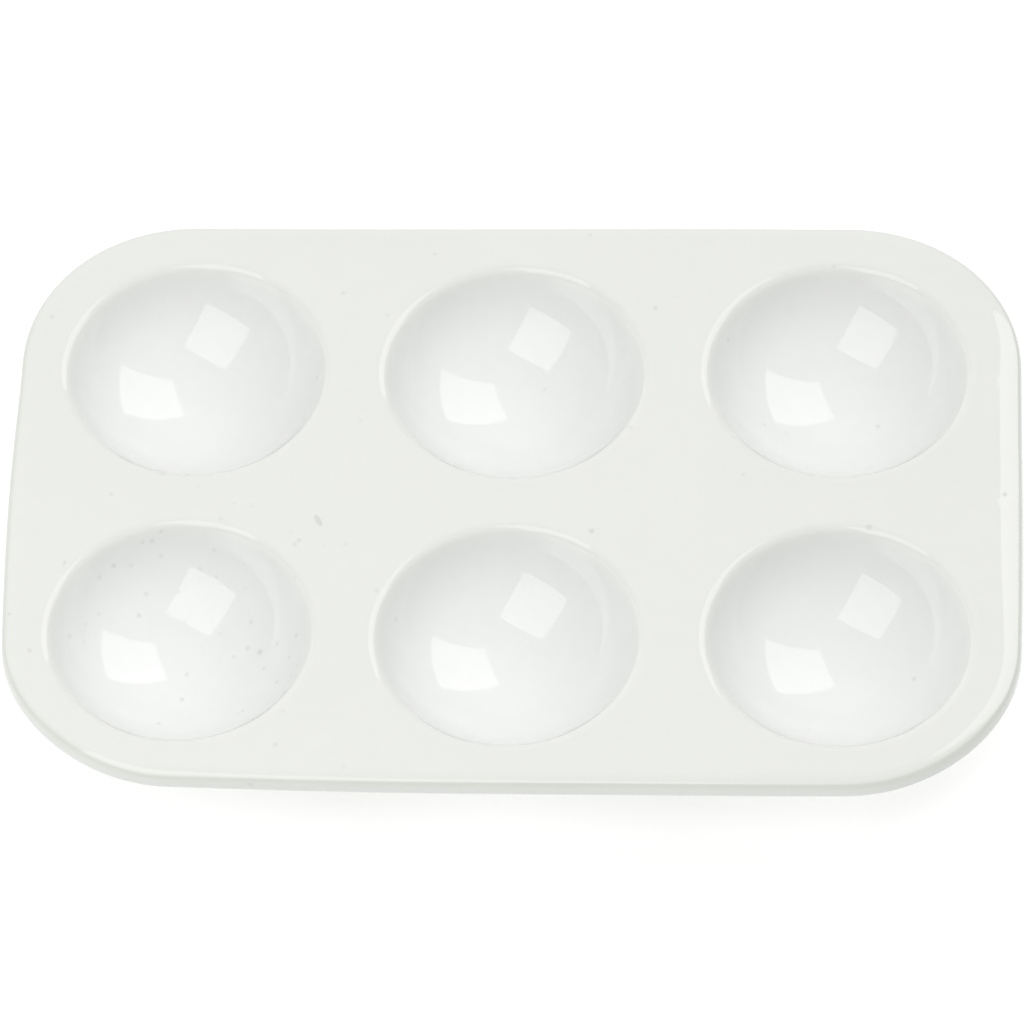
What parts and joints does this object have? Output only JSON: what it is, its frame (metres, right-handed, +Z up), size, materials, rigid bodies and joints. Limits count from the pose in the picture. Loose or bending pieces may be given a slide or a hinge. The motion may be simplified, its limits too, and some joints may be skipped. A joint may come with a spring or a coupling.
{
  "type": "mixing palette",
  "caption": "Glazed porcelain palette for mixing paint: a thin rounded plate with a grid of round bowl-shaped wells, standing on bare flat feet under the wells.",
  "frame": {"origin": "on the surface that the palette stands on, under the centre of the plate", "axes": "+X along the long side, +Y along the short side towards the back, +Z up out of the wells"},
  "size_m": [0.1352, 0.0924, 0.0134],
  "materials": {
    "bisque": "matt unglazed porcelain, only bare at the feet",
    "glaze": "clear gloss glaze over white porcelain, with a few pinholes"
  },
  "bodies": {
    "root": {"clay_body": "bisque", "glaze_coat": "glaze"}
  },
  "joints": []
}
